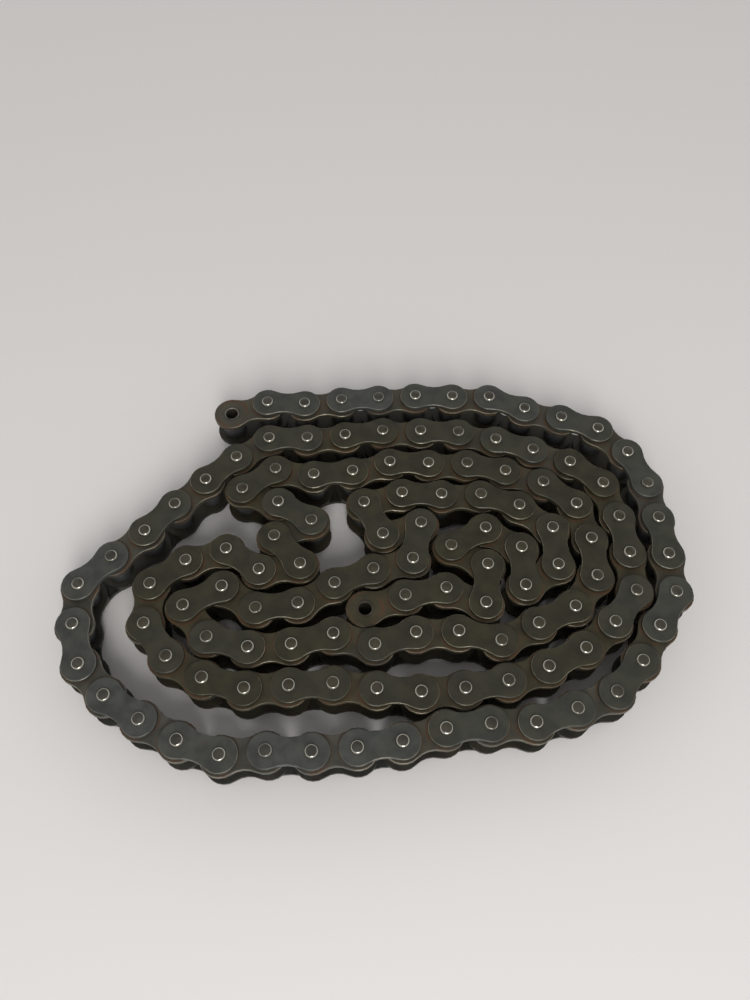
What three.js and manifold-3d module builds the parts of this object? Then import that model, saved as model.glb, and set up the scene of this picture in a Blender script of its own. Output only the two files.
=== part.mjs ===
// A heavy roller chain of one-inch pitch, 119 links long, lying on its side as a loose oblong coil.
// Inner links (two plates, two bushes, two rollers) and outer links (two plates, two pins) take turns,
// and both ends are inner links with open bushes, ready for a connecting link.
// Millimetres, +Z up, +X along the coil's long side. The pins stand upright on the surface at z = 0.
import * as THREE from "three";
import { mergeVertices } from "three/addons/utils/BufferGeometryUtils.js";
import Module from "manifold-3d";

const wasm = await Module();
wasm.setup();

// Driving dimensions, those of a chain of 25.4 mm pitch.
const PITCH = 25.4;
const PLATE = 3.2; // thickness of every plate
const INNER_WIDTH = 15.8; // between the two inner plates
const INNER_LOBE = 11.8; // half the height of an inner plate
const INNER_WAIST = 8.6;
const OUTER_LOBE = 10.3; // half the height of an outer plate
const OUTER_WAIST = 7.6;
const PIN_RADIUS = 3.97;
const PIN_END = 1.7; // what a pin stands out of its outer plate
const PIN_CHAMFER = 0.5;
const BUSH_RADIUS = 5.6;
const ROLLER_RADIUS = 7.94;
const GAP = 0.3; // between pieces that touch or turn on each other

// How finely the round shapes are cut: loose links, then the links that are joined in runs.
const FINE = { lobe: 5, waist: 2, sides: 10 };
const PLAIN = { lobe: 4, waist: 2, sides: 8 };
const JOINED = { lobe: 3, waist: 2, sides: 6, pinSides: 4 };

// Heights of the layers, from the pin ends that rest on the surface to the pin ends on top.
const OUTER_LOW = PIN_END;
const INNER_LOW = OUTER_LOW + PLATE + GAP;
const MIDDLE_LOW = INNER_LOW + PLATE;
const MIDDLE_HIGH = MIDDLE_LOW + INNER_WIDTH;
const OUTER_HIGH = MIDDLE_HIGH + PLATE + GAP;
const TOP = OUTER_HIGH + PLATE + PIN_END;

// The lay: which way each link points, in degrees anticlockwise from +X, from the free end inwards.
const HEADINGS = [
  // outer turn: back run, right end, front run, left end
  18, -1, 8, 5, 5, 0, 0, -21, -15, -20,
  -46, -67, -82, -84, -88, -121, -121, -133,
  -157, -161, -177, -173, -163, -171, -174, -180, -174, 163,
  154, 149, 135, 108, 93, 48, 45, 50, 46, 44,
  // second turn
  37, 2, 6, 9, 1, -1, -12, -17, -21,
  -38, -73, -82, -88, -127, -139, -153,
  -160, -169, -174, 177, 174, -176, -175, 167, 151,
  129, 90, 39,
  // folds at the left, where the strand doubles back on itself
  19, -32, 10, 133, 27, 150, 159,
  // third turn
  37, -8, 7, 17, -1, 1, -12, -18,
  -38, -74, -88, -127, -154, -154,
  168, -177, -162, 166, -164, -175, 167, 130,
  // innermost folds, down to the inner end
  30, -32, 8, 32, 23, 17, 78, -161, 119, 17, -1, 1, -17,
  -38, -87, -146, 92, 149, -150, -29, -95, 159, -168, -162,
];
const LINKS = HEADINGS.length;
const FREE_LINKS = 18; // links 1 to 18 hang free of the coil, each on its own hinge
const DETAILED = [1, 2, 3, 4, LINKS]; // links whose every piece is a mesh of its own
const RUNS = [
  ["coil_outer_turn", 19, 36],
  ["coil_second_turn_back", 37, 50],
  ["coil_second_turn_front", 51, 66],
  ["coil_left_folds_and_third_turn_back", 67, 82],
  ["coil_third_turn_front", 83, 98],
  ["coil_innermost_folds", 99, 118],
];

// Where the pin holes are: each link is one pitch long, and the coil's box is centred on the origin.
function holePlaces() {
  const places = [new THREE.Vector2(0, 0)];
  for (const heading of HEADINGS) {
    const turn = THREE.MathUtils.degToRad(heading);
    const step = new THREE.Vector2(PITCH * Math.cos(turn), PITCH * Math.sin(turn));
    places.push(places[places.length - 1].clone().add(step));
  }
  const box = new THREE.Box2().setFromPoints(places);
  const centre = box.getCenter(new THREE.Vector2());
  return places.map((place) => place.sub(centre));
}
const HOLES = holePlaces();

const isInner = (link) => link % 2 === 1;
const number = (link) => String(link).padStart(3, "0");

// Points on a circular arc, ends included.
function arc(x, y, radius, from, to, steps) {
  const points = [];
  for (let i = 0; i <= steps; i++) {
    const a = from + ((to - from) * i) / steps;
    points.push(new THREE.Vector2(x + radius * Math.cos(a), y + radius * Math.sin(a)));
  }
  return points;
}

// A plate's outline: a round lobe about each hole, joined by a hollow arc along each side that is
// tangent to both lobes. Its holes are at (0, 0) and (PITCH, 0).
function plateOutline(lobe, waist, fine) {
  const half = PITCH / 2;
  const hollow = (half * half + waist * waist - lobe * lobe) / (2 * (lobe - waist));
  const meet = Math.atan2(waist + hollow, half);
  const side = Math.PI - meet;
  return [
    ...arc(PITCH, 0, lobe, -side, side, fine.lobe),
    ...arc(half, waist + hollow, hollow, -meet, -side, fine.waist).slice(1, -1),
    ...arc(0, 0, lobe, meet, 2 * Math.PI - meet, fine.lobe),
    ...arc(half, -waist - hollow, hollow, side, meet, fine.waist).slice(1, -1),
  ];
}

function extruded(outline, holes, low, high) {
  const shape = new THREE.Shape(outline);
  for (const hole of holes) shape.holes.push(new THREE.Path(hole));
  const made = new THREE.ExtrudeGeometry(shape, { depth: high - low, bevelEnabled: false });
  return made.translate(0, 0, low);
}

// A regular polygon about a hole at (x, 0): the section of every pin, bush, roller and bore.
function roundSection(x, radius, sides) {
  return arc(x, 0, radius, 0, 2 * Math.PI, sides).slice(0, -1);
}

// The corner radius of a bore that stays GAP clear of a round piece turning in it.
const boreFor = (radius, sides) => (radius + GAP) / Math.cos(Math.PI / sides);

// One prismatic piece about the hole at (x, 0), with an optional bore through it.
function column(x, radius, low, high, sides, bore) {
  const holes = bore ? [roundSection(x, bore, sides)] : [];
  return extruded(roundSection(x, radius, sides), holes, low, high);
}

function innerPlate(low, fine, bore) {
  const holes = bore ? [0, PITCH].map((x) => roundSection(x, bore, fine.sides)) : [];
  return extruded(plateOutline(INNER_LOBE, INNER_WAIST, fine), holes, low, low + PLATE);
}

function outerPlate(low, fine, bore) {
  const holes = bore ? [0, PITCH].map((x) => roundSection(x, bore, fine.sides)) : [];
  return extruded(plateOutline(OUTER_LOBE, OUTER_WAIST, fine), holes, low, low + PLATE);
}

function bush(x, fine) {
  const bore = boreFor(PIN_RADIUS, fine.sides);
  return column(x, BUSH_RADIUS, INNER_LOW, MIDDLE_HIGH + PLATE, fine.sides, bore);
}

function roller(x, fine) {
  const bore = boreFor(BUSH_RADIUS, fine.sides);
  return column(x, ROLLER_RADIUS, MIDDLE_LOW + GAP, MIDDLE_HIGH - GAP, fine.sides, bore);
}

// A pin, turned about its own axis, with a chamfer at each end.
function pin(x, fine) {
  const flat = PIN_RADIUS - PIN_CHAMFER;
  const profile = [
    new THREE.Vector2(0, 0),
    new THREE.Vector2(flat, 0),
    new THREE.Vector2(PIN_RADIUS, PIN_CHAMFER),
    new THREE.Vector2(PIN_RADIUS, TOP - PIN_CHAMFER),
    new THREE.Vector2(flat, TOP),
    new THREE.Vector2(0, TOP),
  ];
  const turned = new THREE.LatheGeometry(profile, fine.sides);
  return turned.rotateX(Math.PI / 2).translate(x, 0, 0);
}

// A closed geometry as a solid that can be joined and cut.
function solid(geometry) {
  const bare = geometry.index ? geometry.toNonIndexed() : geometry.clone();
  bare.deleteAttribute("normal");
  bare.deleteAttribute("uv");
  const merged = mergeVertices(bare, 1e-3);
  return new wasm.Manifold(
    new wasm.Mesh({
      numProp: 3,
      vertProperties: merged.attributes.position.array,
      triVerts: new Uint32Array(merged.index.array),
    }),
  );
}

const join = (geometries) => geometries.map(solid).reduce((whole, next) => whole.add(next));

function geometryOf(made) {
  const mesh = made.getMesh();
  const geometry = new THREE.BufferGeometry();
  geometry.setAttribute("position", new THREE.BufferAttribute(mesh.vertProperties, 3));
  geometry.setIndex(new THREE.BufferAttribute(mesh.triVerts, 1));
  return geometry;
}

// The two plates and two bushes of an inner link in one piece, as the press fit holds them.
function innerFrame(fine) {
  const bushes = [0, PITCH].map((x) => column(x, BUSH_RADIUS, INNER_LOW + 1, MIDDLE_HIGH + 1, fine.sides));
  const bore = boreFor(PIN_RADIUS, fine.sides);
  const bores = [0, PITCH].map((x) => column(x, bore, 0, TOP, fine.sides));
  const whole = join([innerPlate(INNER_LOW, fine), innerPlate(MIDDLE_HIGH, fine), ...bushes]);
  return geometryOf(whole.subtract(join(bores)));
}

// The two plates and two pins of an outer link in one piece, as riveting holds them.
function outerFrame(fine) {
  const sides = fine.pinSides ?? fine.sides;
  const pins = [0, PITCH].map((x) => column(x, PIN_RADIUS, 0, TOP, sides));
  return geometryOf(join([outerPlate(OUTER_LOW, fine), outerPlate(OUTER_HIGH, fine), ...pins]));
}

// An inner link inside a run: its plates joined by two columns as thick as its rollers.
function innerBlock(fine) {
  const rollers = [0, PITCH].map((x) =>
    column(x, ROLLER_RADIUS, MIDDLE_LOW - 1, MIDDLE_HIGH + 1, fine.sides),
  );
  return geometryOf(join([innerPlate(INNER_LOW, fine), innerPlate(MIDDLE_HIGH, fine), ...rollers]));
}

const darkSteel = (shade, roughness) =>
  new THREE.MeshStandardMaterial({ color: shade, roughness, metalness: 0.85 });
const innerPlateSteel = () => darkSteel(0x4a4843, 0.55);
const outerPlateSteel = () => darkSteel(0x47494c, 0.5);
const pinSteel = () => darkSteel(0x6d6c69, 0.4);
const bushSteel = () => darkSteel(0x5c5b58, 0.4);
const rollerSteel = () => darkSteel(0x2f3032, 0.45);

function named(name, geometry, material) {
  const mesh = new THREE.Mesh(geometry, material);
  mesh.name = name;
  return mesh;
}

// A group placed on a link's first hole and turned along it.
function placed(link) {
  const group = new THREE.Group();
  group.position.set(HOLES[link - 1].x, HOLES[link - 1].y, 0);
  group.rotation.z = THREE.MathUtils.degToRad(HEADINGS[link - 1]);
  return group;
}

function innerLink(link) {
  const group = placed(link);
  const name = `inner_link_${number(link)}`;
  const fine = DETAILED.includes(link) ? FINE : PLAIN;
  if (DETAILED.includes(link)) {
    const bore = boreFor(BUSH_RADIUS, fine.sides);
    group.add(named(`${name}_top_plate`, innerPlate(MIDDLE_HIGH, fine, bore), innerPlateSteel()));
    group.add(named(`${name}_bottom_plate`, innerPlate(INNER_LOW, fine, bore), innerPlateSteel()));
    group.add(named(`${name}_outward_bush`, bush(0, fine), bushSteel()));
    group.add(named(`${name}_inward_bush`, bush(PITCH, fine), bushSteel()));
  } else {
    group.add(named(`${name}_plates_and_bushes`, innerFrame(fine), innerPlateSteel()));
  }
  group.add(named(`${name}_outward_roller`, roller(0, fine), rollerSteel()));
  group.add(named(`${name}_inward_roller`, roller(PITCH, fine), rollerSteel()));
  return group;
}

function outerLink(link) {
  const group = placed(link);
  const name = `outer_link_${number(link)}`;
  const fine = DETAILED.includes(link) ? FINE : PLAIN;
  if (DETAILED.includes(link)) {
    const bore = boreFor(PIN_RADIUS, fine.sides);
    group.add(named(`${name}_top_plate`, outerPlate(OUTER_HIGH, fine, bore), outerPlateSteel()));
    group.add(named(`${name}_bottom_plate`, outerPlate(OUTER_LOW, fine, bore), outerPlateSteel()));
    group.add(named(`${name}_outward_pin`, pin(0, fine), pinSteel()));
    group.add(named(`${name}_inward_pin`, pin(PITCH, fine), pinSteel()));
  } else {
    group.add(named(`${name}_plates_and_pins`, outerFrame(fine), outerPlateSteel()));
  }
  return group;
}

// A stretch of the coil, joined into one piece. The run before it ends in a pin that turns in this
// run's first hole, so that hole is bored right through.
function run(name, first, last) {
  const inner = innerBlock(JOINED);
  const outer = outerFrame(JOINED);
  const links = [];
  for (let link = first; link <= last; link++) {
    const place = placed(link);
    place.updateMatrix();
    links.push((isInner(link) ? inner : outer).clone().applyMatrix4(place.matrix));
  }
  const bore = column(0, boreFor(PIN_RADIUS, PLAIN.sides), 0, TOP, PLAIN.sides);
  const start = placed(first);
  start.updateMatrix();
  const whole = join(links).subtract(solid(bore.applyMatrix4(start.matrix)));
  return named(name, geometryOf(whole), outerPlateSteel());
}

const chain = new THREE.Group();
for (let link = 1; link <= FREE_LINKS; link++) {
  chain.add(isInner(link) ? innerLink(link) : outerLink(link));
}
for (const [name, first, last] of RUNS) chain.add(run(name, first, last));
chain.add(innerLink(LINKS));

export default chain;
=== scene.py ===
import bpy
import numpy as np
from mathutils import Matrix


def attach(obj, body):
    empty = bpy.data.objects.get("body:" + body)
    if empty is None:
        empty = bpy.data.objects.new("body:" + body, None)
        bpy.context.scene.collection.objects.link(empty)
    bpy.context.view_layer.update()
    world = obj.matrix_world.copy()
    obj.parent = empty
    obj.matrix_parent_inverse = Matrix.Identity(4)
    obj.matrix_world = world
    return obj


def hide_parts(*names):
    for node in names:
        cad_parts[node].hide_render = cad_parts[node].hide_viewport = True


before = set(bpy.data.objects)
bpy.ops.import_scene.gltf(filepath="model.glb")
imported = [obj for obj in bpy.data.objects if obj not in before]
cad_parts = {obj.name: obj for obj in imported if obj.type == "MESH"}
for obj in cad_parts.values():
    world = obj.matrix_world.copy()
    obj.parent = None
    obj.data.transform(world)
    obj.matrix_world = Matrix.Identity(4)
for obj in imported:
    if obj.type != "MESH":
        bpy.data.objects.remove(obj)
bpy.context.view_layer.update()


# ---- The lay ---------------------------------------------------------------------------------
# The chain lies on its side in an oblong coil. Each number is the way that one link points, in
# degrees anticlockwise from +X, from the free outer end to the inner end. A link is one pitch
# from hole to hole, and the holes' box is centred on the origin. The headings weren't chosen by hand:
# a separate fitting program worked them out, rounded to whole degrees, so that no plates overlap.
PITCH = 0.0254
HEADINGS = [
    # outer turn: back run, right end, front run, left end
    *(18, -1, 8, 5, 5, 0, 0, -21, -15, -20),
    *(-46, -67, -82, -84, -88, -121, -121, -133),
    *(-157, -161, -177, -173, -163, -171, -174, -180, -174, 163),
    *(154, 149, 135, 108, 93, 48, 45, 50, 46, 44),
    # second turn
    *(37, 2, 6, 9, 1, -1, -12, -17, -21),
    *(-38, -73, -82, -88, -127, -139, -153),
    *(-160, -169, -174, 177, 174, -176, -175, 167, 151),
    *(129, 90, 39),
    # folds at the left, where the strand doubles back on itself
    *(19, -32, 10, 133, 27, 150, 159),
    # third turn
    *(37, -8, 7, 17, -1, 1, -12, -18),
    *(-38, -74, -88, -127, -154, -154),
    *(168, -177, -162, 166, -164, -175, 167, 130),
    # innermost folds, down to the inner end
    *(30, -32, 8, 32, 23, 17, 78, -161, 119, 17, -1, 1, -17),
    *(-38, -87, -146, 92, 149, -150, -29, -95, 159, -168, -162),
]
LINKS = len(HEADINGS)
FREE_LINKS = 18
COIL_RUNS = {
    "coil_outer_turn": range(19, 37),
    "coil_second_turn_back": range(37, 51),
    "coil_second_turn_front": range(51, 67),
    "coil_left_folds_and_third_turn_back": range(67, 83),
    "coil_third_turn_front": range(83, 99),
    "coil_innermost_folds": range(99, LINKS),
}
turns = np.radians(HEADINGS)
steps = PITCH * np.column_stack([np.cos(turns), np.sin(turns)])
holes = np.vstack([np.zeros(2), np.cumsum(steps, axis=0)])
holes -= (holes.min(axis=0) + holes.max(axis=0)) / 2

# Layers from the surface up: the pins stand out of the outer plates, which lie over the inner ones.
PLATE = 0.0032
TOP = 0.0326
PIN_END = 0.0017
OUTER_LOW, OUTER_HIGH = PIN_END, TOP - PIN_END - PLATE
INNER_LOW, INNER_HIGH = 0.0052, 0.0242
MIDDLE_LOW, MIDDLE_HIGH = INNER_LOW + PLATE, INNER_HIGH


def link_name(link):
    """Odd links are inner links, even ones are outer links."""
    return f"{'inner' if link % 2 else 'outer'}_link_{link:03d}"


def body_of(link):
    """A free link is a body of its own, and all the others lie still in the coil."""
    return f"link_{link:03d}" if link <= FREE_LINKS else "coil"


def cad_node_of(link, part):
    """The CAD node that a part stands for: its own, its link's frame, or the run its link is in."""
    own = f"{link_name(link)}_{part}"
    frames = [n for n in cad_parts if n.startswith(f"{link_name(link)}_plates_and")]
    runs = [name for name, links in COIL_RUNS.items() if link in links]
    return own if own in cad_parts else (frames + runs)[0]


# ---- Inner plates ----------------------------------------------------------------------------
# Two to a link, blanked from 3.2 mm strip with a round lobe about each hole and a hollow waist,
# the edge of the outer face rolled over by the punch. Two bushes are pressed into them. They are
# blackened and oiled, browner towards the middle of the coil, with rust where the next plate rubs.
INNER_LOBE, INNER_WAIST = 0.0118, 0.0086
OUTER_LOBE, OUTER_WAIST = 0.0103, 0.0076
BUSH_RADIUS = 0.0056
ROLLED_IN, ROLLED_DOWN = 0.00045, 0.00038
LOBE_STEPS, HOLLOW_STEPS, HOLE_STEPS = 7, 4, 16


def outline(lobe, waist, inset):
    """A plate's outline, anticlockwise from the tip of the lobe about (PITCH, 0), and how many of
    its points make the upper half, from tip to tip. A half is an arc about each hole with a hollow
    arc between them that touches both, so its radius follows from the lobe, the waist and the
    pitch. An outline moved in by inset has smaller lobes and larger hollows about the same
    centres. The lower half is the upper one mirrored."""
    half = PITCH / 2
    hollow = (half**2 + waist**2 - lobe**2) / (2 * (lobe - waist))
    meet = np.arctan2(waist + hollow, half)
    around = np.linspace(0, np.pi - meet, LOBE_STEPS + 1)
    along = np.linspace(-meet, meet - np.pi, HOLLOW_STEPS + 1)[1:-1]
    arcs = [
        ((PITCH, 0), lobe - inset, around),
        ((half, waist + hollow), hollow + inset, along),
        ((0, 0), lobe - inset, meet + around),
    ]
    upper = np.vstack([c + r * np.column_stack([np.cos(t), np.sin(t)]) for c, r, t in arcs])
    return np.vstack([upper, upper[-2:0:-1] * [1, -1]]), len(upper)


def plate_shape(lobe, waist, fitted):
    """A plate's points, faces and how rubbed each point is, with its holes at (0, 0) and (PITCH, 0)
    and its outer face at z = 0. Quads run round the rolled edge, the side and the two holes, and
    each flat face is two halves that meet on the line through the holes. The holes are cut so that
    the middles of their straight steps clear the round piece fitted in them."""
    rolled, upper_count = outline(lobe, waist, ROLLED_IN)
    full, _ = outline(lobe, waist, 0)
    turn = np.linspace(0, 2 * np.pi, HOLE_STEPS, endpoint=False)
    hole = fitted / np.cos(np.pi / HOLE_STEPS) * np.column_stack([np.cos(turn), np.sin(turn)])
    # The wear of the rolled edge ends a little way down the side, so its far end counts below 0.
    rings = [(rolled, 0, 0), (full, -ROLLED_DOWN, 1), (full, -PLATE, -1.5)]
    rings += [(hole + [x, 0], z, 0) for x in (0, PITCH) for z in (0, -PLATE)]
    starts = np.cumsum([0] + [len(ring) for ring, _, _ in rings])
    points = np.vstack([np.column_stack([ring, np.full(len(ring), z)]) for ring, z, _ in rings])
    rubbed = np.concatenate([np.full(len(ring), worn) for ring, _, worn in rings])
    index = [np.arange(start, start + len(ring)) for start, (ring, _, _) in zip(starts, rings)]
    edge, side, foot, *walls = index
    faces = []
    for above, below in ((edge, side), (side, foot), (walls[1], walls[0]), (walls[3], walls[2])):
        faces += np.column_stack([below, np.roll(below, -1), np.roll(above, -1), above]).tolist()
    half = HOLE_STEPS // 2
    for rim, left, right, order in ((edge, walls[0], walls[2], 1), (foot, walls[1], walls[3], -1)):
        over = [*rim[:upper_count], *left[half::-1], *right[half::-1]]
        under = [*rim[upper_count - 1 :], rim[0]]
        for hole_ring in (right, left):
            under += [hole_ring[0], *hole_ring[: half - 1 : -1]]
        faces += [over[::order], under[::order]]
    return points, [list(map(int, face)) for face in faces], rubbed


def turned_over(shape):
    """A shape mirrored in z, with its faces reversed so that they still point outwards."""
    points, faces, rubbed = shape
    return points * [1, 1, -1], [face[::-1] for face in faces], rubbed


# How much brown oil film a link carries. The outer turn is wiped by handling and the inner turns
# aren't. The share's drop along the front of the outer turn is painted light, lightening those plates.
FILM_AND_LIGHT_LINKS = [0, 14, 20, 26, 32, 38, LINKS - 1]
FILM_AND_LIGHT_SHARES = [0.3, 0.45, 0.4, 0.05, 0.1, 0.75, 0.9]
FILM_SPREAD = 0.16
film_draw = np.random.default_rng(4)
link_film_and_light = np.interp(np.arange(LINKS), FILM_AND_LIGHT_LINKS, FILM_AND_LIGHT_SHARES)
link_film_and_light += film_draw.uniform(-FILM_SPREAD, FILM_SPREAD, LINKS)
SHARP_ANGLE = np.radians(38)


def place_piece(name, link, shape, lift, material, body, node):
    """Makes a shape a piece of a link: turned to the link's heading, moved to its first hole and
    lifted. Its UV map holds the place on the link in pitches, as it was before it was turned."""
    points, faces, rubbed = shape
    turn = turns[link - 1]
    turned = points @ [[np.cos(turn), np.sin(turn), 0], [-np.sin(turn), np.cos(turn), 0], [0, 0, 1]]
    mesh = bpy.data.meshes.new(name)
    mesh.from_pydata(turned + [*holes[link - 1], lift], [], faces)
    mesh.polygons.foreach_set("use_smooth", np.ones(len(faces), bool))
    mesh.set_sharp_from_angle(angle=SHARP_ANGLE)
    corners = np.concatenate(faces)
    on_link = mesh.uv_layers.new(name="on_link")
    on_link.data.foreach_set("uv", (points[corners, :2] / PITCH).reshape(-1))
    for label, values in (("rubbed", rubbed), ("film_and_light", np.full(len(points), link_film_and_light[link - 1]))):
        mesh.attributes.new(label, "FLOAT", "POINT").data.foreach_set("value", values)
    mesh.materials.append(material)
    piece = bpy.data.objects.new(name, mesh)
    bpy.context.scene.collection.objects.link(piece)
    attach(piece, body)
    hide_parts(node)


def add_node(tree, kind, **settings):
    """A new node with these settings."""
    made = tree.nodes.new(kind)
    for setting, value in settings.items():
        setattr(made, setting, value)
    return made


def noise_at(tree, coordinates, scale, detail, roughness=0.55):
    """The value of a noise pattern on these coordinates."""
    noise = add_node(tree, "ShaderNodeTexNoise")
    tree.links.new(coordinates, noise.inputs["Vector"])
    for name, number in (("Scale", scale), ("Detail", detail), ("Roughness", roughness)):
        noise.inputs[name].default_value = number
    return noise.outputs["Fac"]


def between(tree, value, low, high, to_low=0.0, to_high=1.0):
    """A value's place between low and high, eased at both ends."""
    ease = add_node(tree, "ShaderNodeMapRange", interpolation_type="SMOOTHSTEP")
    tree.links.new(value, ease.inputs["Value"])
    for name, number in (("From Min", low), ("From Max", high), ("To Min", to_low), ("To Max", to_high)):
        ease.inputs[name].default_value = number
    return ease.outputs["Result"]


def worked(tree, operation, first, second):
    """Two values, each a socket or a number, put together by a Math node."""
    math_node = add_node(tree, "ShaderNodeMath", operation=operation)
    for socket, value in zip(math_node.inputs, (first, second)):
        if isinstance(value, (int, float)):
            socket.default_value = value
        else:
            tree.links.new(value, socket)
    return math_node.outputs[0]


def mixed(tree, mask, first, second, blend="MIX"):
    """The first colour where the mask is 0 and the second where it is 1, or the two multiplied."""
    mix = add_node(tree, "ShaderNodeMix", data_type="RGBA", blend_type=blend)
    for socket, value in ((mix.inputs["Factor"], mask), (mix.inputs[6], first), (mix.inputs[7], second)):
        if isinstance(value, tuple):
            socket.default_value = (*value, 1)
        elif isinstance(value, (int, float)):
            socket.default_value = value
        else:
            tree.links.new(value, socket)
    return mix.outputs[2]


def new_group(name, inputs, outputs):
    """An empty shader node group with these inputs and outputs, all single values."""
    tree = bpy.data.node_groups.new(name, "ShaderNodeTree")
    for label, value in inputs.items():
        socket = tree.interface.new_socket(label, in_out="INPUT", socket_type="NodeSocketFloat")
        socket.default_value = value
    for label in outputs:
        tree.interface.new_socket(label, in_out="OUTPUT", socket_type="NodeSocketFloat")
    return tree, add_node(tree, "NodeGroupInput").outputs, add_node(tree, "NodeGroupOutput").inputs


# Where oiled steel is filmed, clouded, flecked with rust and rubbed bright. The film is the
# link's own share, made uneven by a wide and a close pattern. What lies low is kept free of rust,
# and the same ramp of height is used to paint shade on it, down to half as bright near the floor.
oiled, oiled_in, oiled_out = new_group(
    "oiled_surface", {"Wear": 1.0}, ["FilmAndLight", "Cloud", "Rust", "Bright", "DrynessAndPaintedLight"]
)
place = add_node(oiled, "ShaderNodeTexCoord").outputs["Object"]
apart = add_node(oiled, "ShaderNodeSeparateXYZ")
oiled.links.new(place, apart.inputs[0])
dryness_and_painted_light = between(oiled, apart.outputs["Z"], 0.006, 0.026)
cloud = noise_at(oiled, place, 95, 5)
wide = noise_at(oiled, place, 26, 3)
# The link's film share, lowered along the outer turn's front as painted light.
share = add_node(oiled, "ShaderNodeAttribute", attribute_name="film_and_light").outputs["Fac"]
unevenness = worked(oiled, "SUBTRACT", worked(oiled, "ADD", cloud, wide), 1)
film_and_light = between(oiled, worked(oiled, "ADD", share, worked(oiled, "MULTIPLY", unevenness, 0.6)), 0, 1)
flecks = between(oiled, noise_at(oiled, place, 230, 4, 0.7), 0.60, 0.76)
rust = worked(oiled, "MULTIPLY", flecks, between(oiled, wide, 0.50, 0.66))
rust = worked(oiled, "MULTIPLY", rust, dryness_and_painted_light)
edge_wear = add_node(oiled, "ShaderNodeAttribute", attribute_name="rubbed").outputs["Fac"]
broken = worked(oiled, "MULTIPLY", noise_at(oiled, place, 160, 4), oiled_in["Wear"])
broken = worked(oiled, "MULTIPLY", broken, between(oiled, wide, 0.40, 0.60, 0.55, 1.25))
bright = between(oiled, worked(oiled, "MULTIPLY", edge_wear, broken), 0.2, 0.7)
masks = {"FilmAndLight": film_and_light, "Cloud": cloud, "Rust": rust, "Bright": bright, "DrynessAndPaintedLight": dryness_and_painted_light}
for output, value in masks.items():
    oiled.links.new(value, oiled_out[output])


def steel(name, bare, filmed, worn, wear, roughness, metallic, rubbing_radius=None):
    """Blackened, oiled steel: its bare, filmed and worn colours, how far its edges are worn, and
    its gloss. Up to rubbing_radius from a hole the next link's plate covers it, and rust and dirt
    gather just past there."""
    material = bpy.data.materials.new(name)
    material.use_nodes = True
    tree = material.node_tree
    shader = tree.nodes["Principled BSDF"]
    surface = add_node(tree, "ShaderNodeGroup", node_tree=oiled)
    surface.inputs["Wear"].default_value = wear
    cloud = surface.outputs["Cloud"]
    rust = worked(tree, "MULTIPLY", surface.outputs["Rust"], 0.8)
    if rubbing_radius:
        on_link = add_node(tree, "ShaderNodeUVMap", uv_map="on_link").outputs["UV"]
        reaches = []
        for x in (0, 1):
            reach = add_node(tree, "ShaderNodeVectorMath", operation="DISTANCE")
            tree.links.new(on_link, reach.inputs[0])
            reach.inputs[1].default_value = (x, 0, 0)
            reaches.append(reach.outputs["Value"])
        nearest = worked(tree, "MINIMUM", *reaches)
        rim = rubbing_radius / PITCH
        fading = between(tree, nearest, rim + 0.10, rim)
        starting = between(tree, nearest, rim - 0.06, rim - 0.01)
        past = worked(tree, "MULTIPLY", fading, starting)
        patchy = between(tree, cloud, 0.40, 0.64, 0.1, 0.8)
        patchy = worked(tree, "MULTIPLY", patchy, surface.outputs["DrynessAndPaintedLight"])
        rust = worked(tree, "MAXIMUM", rust, worked(tree, "MULTIPLY", past, patchy))
    colour = mixed(tree, surface.outputs["FilmAndLight"], bare, filmed)
    colour = mixed(tree, 1.0, colour, between(tree, cloud, 0.3, 0.7, 0.75, 1.25), "MULTIPLY")
    # Lower down the colour is darkened to half: painted shade.
    painted_shade_low_down = between(tree, surface.outputs["DrynessAndPaintedLight"], 0, 1, 0.5, 1)
    colour = mixed(tree, 1.0, colour, painted_shade_low_down, "MULTIPLY")
    colour = mixed(tree, rust, colour, RUST)
    colour = mixed(tree, surface.outputs["Bright"], colour, worn)
    tree.links.new(colour, shader.inputs["Base Color"])
    matt = worked(tree, "MULTIPLY", between(tree, cloud, 0.3, 0.7, 0.85, 1.15), roughness)
    matt = worked(tree, "ADD", matt, worked(tree, "MULTIPLY", rust, 0.3))
    tree.links.new(matt, shader.inputs["Roughness"])
    metal = worked(tree, "MAXIMUM", metallic, surface.outputs["Bright"])
    tree.links.new(metal, shader.inputs["Metallic"])
    return material


RUST = (0.085, 0.036, 0.015)
WORN_STEEL = (0.32, 0.29, 0.215)
inner_plate_steel = steel(
    "inner_plate_steel",
    (0.060, 0.059, 0.048),
    (0.045, 0.037, 0.017),
    WORN_STEEL,
    0.95,
    0.48,
    0.3,
    OUTER_LOBE,
)
inner_plate = plate_shape(INNER_LOBE, INNER_WAIST, BUSH_RADIUS)
for link in range(1, LINKS + 1, 2):
    for side, shape, lift in (
        ("top", inner_plate, INNER_HIGH + PLATE),
        ("bottom", turned_over(inner_plate), INNER_LOW),
    ):
        name = f"link_{link:03d}_{side}_inner_plate"
        node = cad_node_of(link, f"{side}_plate")
        place_piece(name, link, shape, lift, inner_plate_steel, body_of(link), node)


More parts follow.
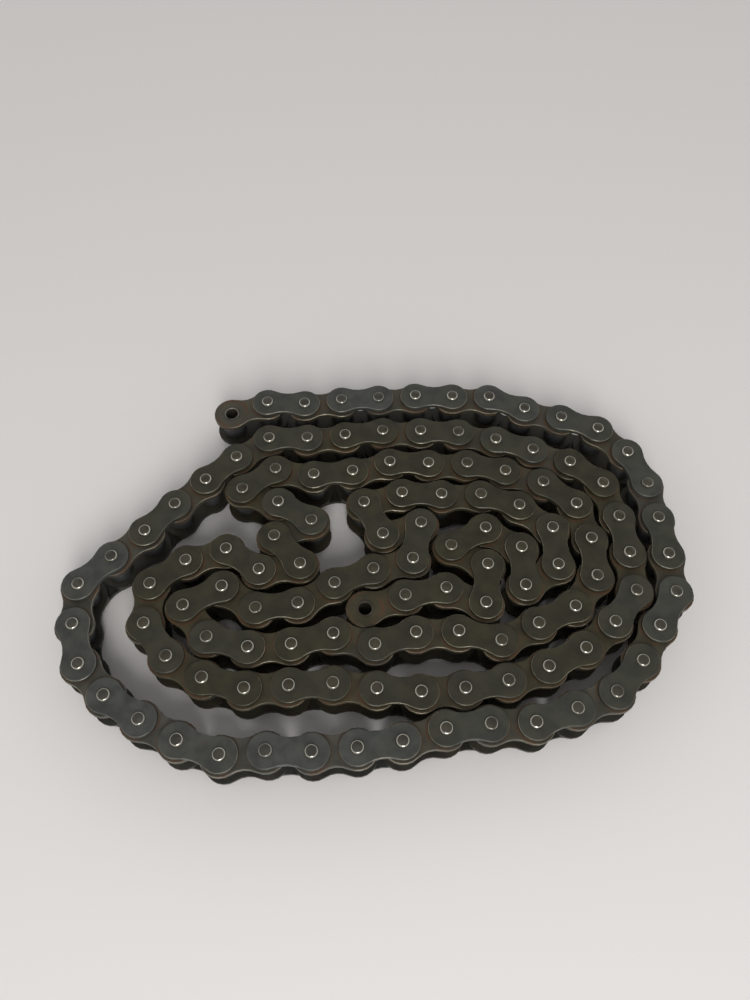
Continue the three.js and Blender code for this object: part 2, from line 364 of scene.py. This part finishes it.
# ---- Outer plates ----------------------------------------------------------------------------
# Two to a link, blanked like the inner ones but narrower, and riveted over the pins. They lie on
# top, so they are the cleanest: a cold black on the outer turn, browner on the inner ones.
outer_plate_steel = steel(
    "outer_plate_steel", (0.056, 0.059, 0.053), (0.029, 0.026, 0.012), WORN_STEEL, 0.85, 0.44, 0.3
)
PIN_RADIUS = 0.00397
outer_plate = plate_shape(OUTER_LOBE, OUTER_WAIST, PIN_RADIUS)
for link in range(2, LINKS, 2):
    for side, shape, lift in (
        ("top", outer_plate, OUTER_HIGH + PLATE),
        ("bottom", turned_over(outer_plate), OUTER_LOW),
    ):
        name = f"link_{link:03d}_{side}_outer_plate"
        node = cad_node_of(link, f"{side}_plate")
        place_piece(name, link, shape, lift, outer_plate_steel, body_of(link), node)


# ---- Pins ------------------------------------------------------------------------------------
# Ground steel pins, two to an outer link, riveted at both ends. The riveting rounds the end over,
# and the rounding wears bright, while the flat in the middle keeps a brown film.
ROUND_STEPS = 16
END_ROUNDING = [(0.0029, 0.0), (0.0034, 0.0002), (0.0038, 0.0006), (PIN_RADIUS, 0.001)]


def turned_shape(profile, rubbed, x, capped):
    """A turned piece about the hole at (x, 0): its profile, points of radius and height that go up
    its outside, carried round the axis in quads. It is capped by a flat face at each end, or else
    the profile closes on itself and the piece is a ring."""
    radius, height = np.transpose(profile)
    angle = np.linspace(0, 2 * np.pi, ROUND_STEPS, endpoint=False)[:, None]
    grid = np.stack([x + radius * np.cos(angle), radius * np.sin(angle), height + 0 * angle], axis=-1)
    here = np.arange(ROUND_STEPS * len(profile)).reshape(ROUND_STEPS, -1)
    beside = np.roll(here, -1, axis=0)
    quads = np.stack([here, beside, np.roll(beside, -1, axis=1), np.roll(here, -1, axis=1)], axis=-1)
    faces = quads[:, : -1 if capped else None].reshape(-1, 4).tolist()
    if capped:
        faces += [here[::-1, 0].tolist(), here[:, -1].tolist()]
    return grid.reshape(-1, 3), faces, np.tile(rubbed, ROUND_STEPS)


pin_steel = steel(
    "pin_steel", (0.062, 0.060, 0.050), (0.058, 0.050, 0.032), (0.36, 0.345, 0.30), 1.7, 0.23, 0.4
)
pin_profile = END_ROUNDING + [(radius, TOP - drop) for radius, drop in END_ROUNDING[::-1]]
pin_rubbed = [0.15, 1, 1, 0.6, 0.6, 1, 1, 0.15]
for link in range(2, LINKS, 2):
    for side, x in (("outward", 0), ("inward", PITCH)):
        name = f"link_{link:03d}_{side}_pin"
        shape = turned_shape(pin_profile, pin_rubbed, x, capped=True)
        node = cad_node_of(link, f"{side}_pin")
        place_piece(name, link, shape, 0, pin_steel, body_of(link), node)


# ---- Bushes ----------------------------------------------------------------------------------
# Thin steel tubes pressed into the inner plates, flush with them. The pins turn inside them, and
# at the chain's two ends they stand open for a connecting link's pins.
# The bore is cut so that the middles of its straight steps clear the pin.
BUSH_BORE = (PIN_RADIUS + 0.00003) / np.cos(np.pi / ROUND_STEPS)
MOUTH = 0.0003
bush_steel = steel(
    "bush_steel", (0.055, 0.052, 0.046), (0.050, 0.042, 0.028), (0.26, 0.25, 0.22), 1.3, 0.42, 0.5
)
bush_top = INNER_HIGH + PLATE
bush_profile = [(BUSH_BORE + MOUTH, INNER_LOW), (BUSH_RADIUS, INNER_LOW), (BUSH_RADIUS, bush_top)]
bush_profile += [(BUSH_BORE + MOUTH, bush_top), (BUSH_BORE, bush_top - MOUTH)]
bush_profile += [(BUSH_BORE, INNER_LOW + MOUTH)]
bush_rubbed = [0.7, 0.1, 0.1, 0.7, 0, 0]
for link in range(1, LINKS + 1, 2):
    for side, x in (("outward", 0), ("inward", PITCH)):
        name = f"link_{link:03d}_{side}_bush"
        shape = turned_shape(bush_profile, bush_rubbed, x, capped=False)
        node = cad_node_of(link, f"{side}_bush")
        place_piece(name, link, shape, 0, bush_steel, body_of(link), node)


# ---- Rollers ---------------------------------------------------------------------------------
# Hardened rings that spin on the bushes between the inner plates. They show only in the gaps, dark
# and oily, with a thin bright line where their ends are chamfered.
ROLLER_RADIUS = 0.00794
ROLLER_BORE = (BUSH_RADIUS + 0.00004) / np.cos(np.pi / ROUND_STEPS)
ROLLER_PLAY, ROLLER_CHAMFER = 0.0003, 0.0005
roller_steel = steel(
    "roller_steel", (0.13, 0.136, 0.145), (0.10, 0.102, 0.10), (0.30, 0.30, 0.29), 1.2, 0.34, 0.5
)
low, high = MIDDLE_LOW + ROLLER_PLAY, MIDDLE_HIGH - ROLLER_PLAY
roller_profile = [(ROLLER_BORE, low), (ROLLER_RADIUS - ROLLER_CHAMFER, low)]
roller_profile += [(ROLLER_RADIUS, low + ROLLER_CHAMFER), (ROLLER_RADIUS, high - ROLLER_CHAMFER)]
roller_profile += [(ROLLER_RADIUS - ROLLER_CHAMFER, high), (ROLLER_BORE, high)]
roller_rubbed = [0, 1, 0.3, 0.3, 1, 0]
for link in range(1, LINKS + 1, 2):
    for side, x in (("outward", 0), ("inward", PITCH)):
        name = f"link_{link:03d}_{side}_roller"
        body = f"roller_{link:03d}_{side}" if link <= FREE_LINKS or link == LINKS else "coil"
        shape = turned_shape(roller_profile, roller_rubbed, x, capped=False)
        node = cad_node_of(link, f"{side}_roller")
        place_piece(name, link, shape, 0, roller_steel, body, node)


# ---- The floor and the light -----------------------------------------------------------------
# A plain pale floor in a room that is bright low down, where its walls and windows are, and dim
# overhead. A soft light in front is what the pin ends and the plates' front edges catch.
FLOOR_REACH = 60.0
floor_mesh = bpy.data.meshes.new("floor")
floor_corners = FLOOR_REACH * np.array([(-1, -1, 0), (1, -1, 0), (1, 1, 0), (-1, 1, 0)])
floor_mesh.from_pydata(floor_corners, [], [(0, 1, 2, 3)])
floor = bpy.data.objects.new("floor", floor_mesh)
bpy.context.scene.collection.objects.link(floor)
floor_material = bpy.data.materials.new("pale_floor")
floor_material.use_nodes = True
floor_shader = floor_material.node_tree.nodes["Principled BSDF"]
floor_shader.inputs["Base Color"].default_value = (0.72, 0.70, 0.69, 1)
floor_shader.inputs["Roughness"].default_value = 0.7
floor_mesh.materials.append(floor_material)

LIGHT_WIDTH, LIGHT_HEIGHT, LIGHT_DISTANCE, LIGHT_POWER = 0.45, 0.8, 1.5, 12
front_light_data = bpy.data.lights.new("front_light", "AREA")
front_light_data.shape = "RECTANGLE"
front_light_data.size, front_light_data.size_y = LIGHT_WIDTH, LIGHT_HEIGHT
front_light_data.energy = LIGHT_POWER
front_light_data.color = (1.0, 0.985, 0.965)
front_light = bpy.data.objects.new("front_light", front_light_data)
light_turn, light_tilt = np.radians([5, 47])
front_light.matrix_world = (
    Matrix.Rotation(light_turn, 4, "Z")
    @ Matrix.Rotation(light_tilt, 4, "X")
    @ Matrix.Translation((0, 0, LIGHT_DISTANCE))
)
bpy.context.scene.collection.objects.link(front_light)

# How bright the room is at each height of the sky, from the horizon at 0 to the zenith at 1.
ROOM_STRENGTH = 1.13
ROOM_BRIGHTNESS = [(0.0, 0.42), (0.22, 0.95), (0.42, 0.95), (0.84, 0.22), (1.0, 0.42)]
room = bpy.data.worlds.new("room")
room.use_nodes = True
room_tree = room.node_tree
sky = add_node(room_tree, "ShaderNodeSeparateXYZ")
room_tree.links.new(add_node(room_tree, "ShaderNodeTexCoord").outputs["Generated"], sky.inputs[0])
ramp = add_node(room_tree, "ShaderNodeValToRGB")
ramp.color_ramp.interpolation = "EASE"
while len(ramp.color_ramp.elements) < len(ROOM_BRIGHTNESS):
    ramp.color_ramp.elements.new(0.5)
for element, (height, brightness) in zip(ramp.color_ramp.elements, ROOM_BRIGHTNESS):
    element.position = height
    element.color = (brightness, 0.995 * brightness, 0.985 * brightness, 1)
room_tree.links.new(sky.outputs["Z"], ramp.inputs["Fac"])
room_tree.links.new(ramp.outputs["Color"], room_tree.nodes["Background"].inputs["Color"])
room_tree.nodes["Background"].inputs["Strength"].default_value = ROOM_STRENGTH
bpy.context.scene.world = room
bpy.context.scene.view_settings.view_transform = "Standard"


# ---- The camera ------------------------------------------------------------------------------
# It stands in front of the coil and looks down on it steeply, the way a person looks at a chain
# on a bench. The image is 750 wide and 1000 high, and the lens is given against its height.
IMAGE_HEIGHT_MM = 36.0
LENS_PER_HEIGHT = 0.83
camera_data = bpy.data.cameras.new("camera")
camera_data.sensor_fit = "VERTICAL"
camera_data.sensor_height = IMAGE_HEIGHT_MM
camera_data.lens = LENS_PER_HEIGHT * IMAGE_HEIGHT_MM
camera = bpy.data.objects.new("camera", camera_data)
camera_tilt, camera_turn, camera_roll = np.radians([28.54, 0.37, 0.72])
camera.matrix_world = (
    Matrix.Translation((-0.0008, -0.2151, 0.4983))
    @ Matrix.Rotation(camera_turn, 4, "Z")
    @ Matrix.Rotation(camera_tilt, 4, "X")
    @ Matrix.Rotation(camera_roll, 4, "Z")
)
bpy.context.scene.collection.objects.link(camera)
bpy.context.scene.camera = camera
